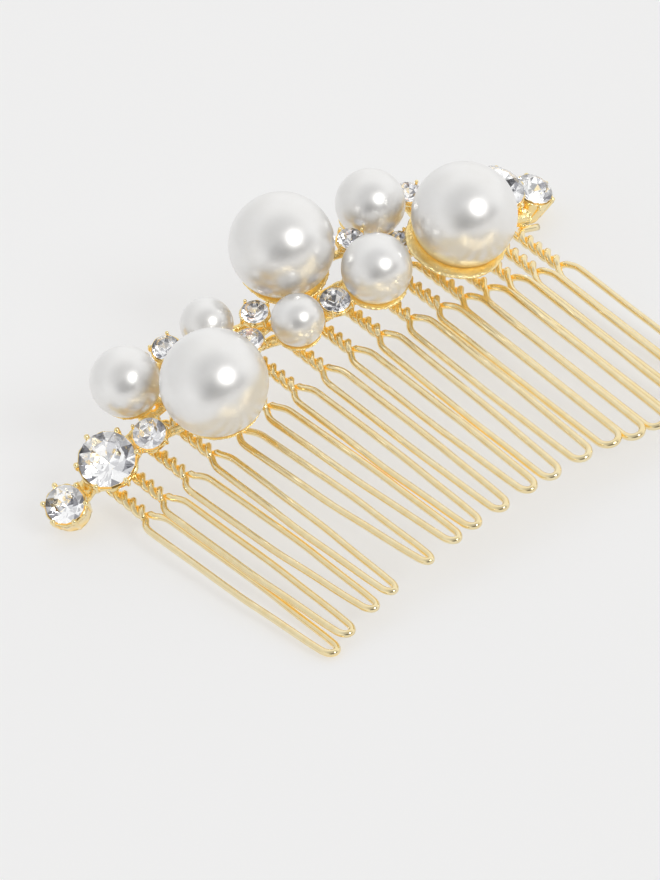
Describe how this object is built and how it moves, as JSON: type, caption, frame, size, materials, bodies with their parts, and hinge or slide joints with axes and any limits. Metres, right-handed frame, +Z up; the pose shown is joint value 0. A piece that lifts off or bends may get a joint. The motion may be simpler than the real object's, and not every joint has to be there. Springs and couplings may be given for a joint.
{
  "type": "decorative hair comb",
  "caption": "Arched gold wire hair comb with twisted tooth necks and long looped teeth, topped by a cast ornament of imitation pearls and clear stones in claw settings.",
  "frame": {"origin": "on the surface the comb lies on, below the middle of its bounding box", "axes": "+X along the row of teeth to the wearer's right, +Y away from the tips towards the ornament's back, +Z up, out of the arch"},
  "size_m": [0.0746, 0.0516, 0.0227],
  "materials": {
    "comb_wire": "polished gold-coloured wire",
    "frame_gold": "gold-plated casting, slightly rough",
    "setting_gold": "polished gold plating",
    "pearl": "pearlescent coating",
    "crystal": "cut and polished, foiled behind"
  },
  "bodies": {
    "root": {"tooth_01": "comb_wire", "tooth_02": "comb_wire", "tooth_03": "comb_wire", "tooth_04": "comb_wire", "tooth_05": "comb_wire", "tooth_06": "comb_wire", "tooth_07": "comb_wire", "tooth_08": "comb_wire", "tooth_09": "comb_wire", "tooth_10": "comb_wire", "tooth_11": "comb_wire", "tooth_12": "comb_wire", "tooth_13": "comb_wire", "tooth_14": "comb_wire", "tooth_15": "comb_wire", "tooth_16": "comb_wire", "tooth_17": "comb_wire", "cast_frame": "frame_gold", "pearl_01": "pearl", "pearl_02": "pearl", "pearl_03": "pearl", "pearl_04": "pearl", "pearl_05": "pearl", "pearl_06": "pearl", "pearl_07": "pearl", "pearl_08": "pearl", "stone_01": "crystal", "setting_01": "setting_gold", "stone_02": "crystal", "setting_02": "setting_gold", "stone_03": "crystal", "setting_03": "setting_gold", "stone_04": "crystal", "setting_04": "setting_gold", "stone_05": "crystal", "setting_05": "setting_gold", "stone_06": "crystal", "setting_06": "setting_gold", "stone_07": "crystal", "setting_07": "setting_gold", "stone_08": "crystal", "setting_08": "setting_gold", "stone_09": "crystal", "setting_09": "setting_gold", "stone_10": "crystal", "setting_10": "setting_gold", "stone_11": "crystal", "setting_11": "setting_gold", "stone_12": "crystal", "setting_12": "setting_gold"}
  },
  "joints": []
}
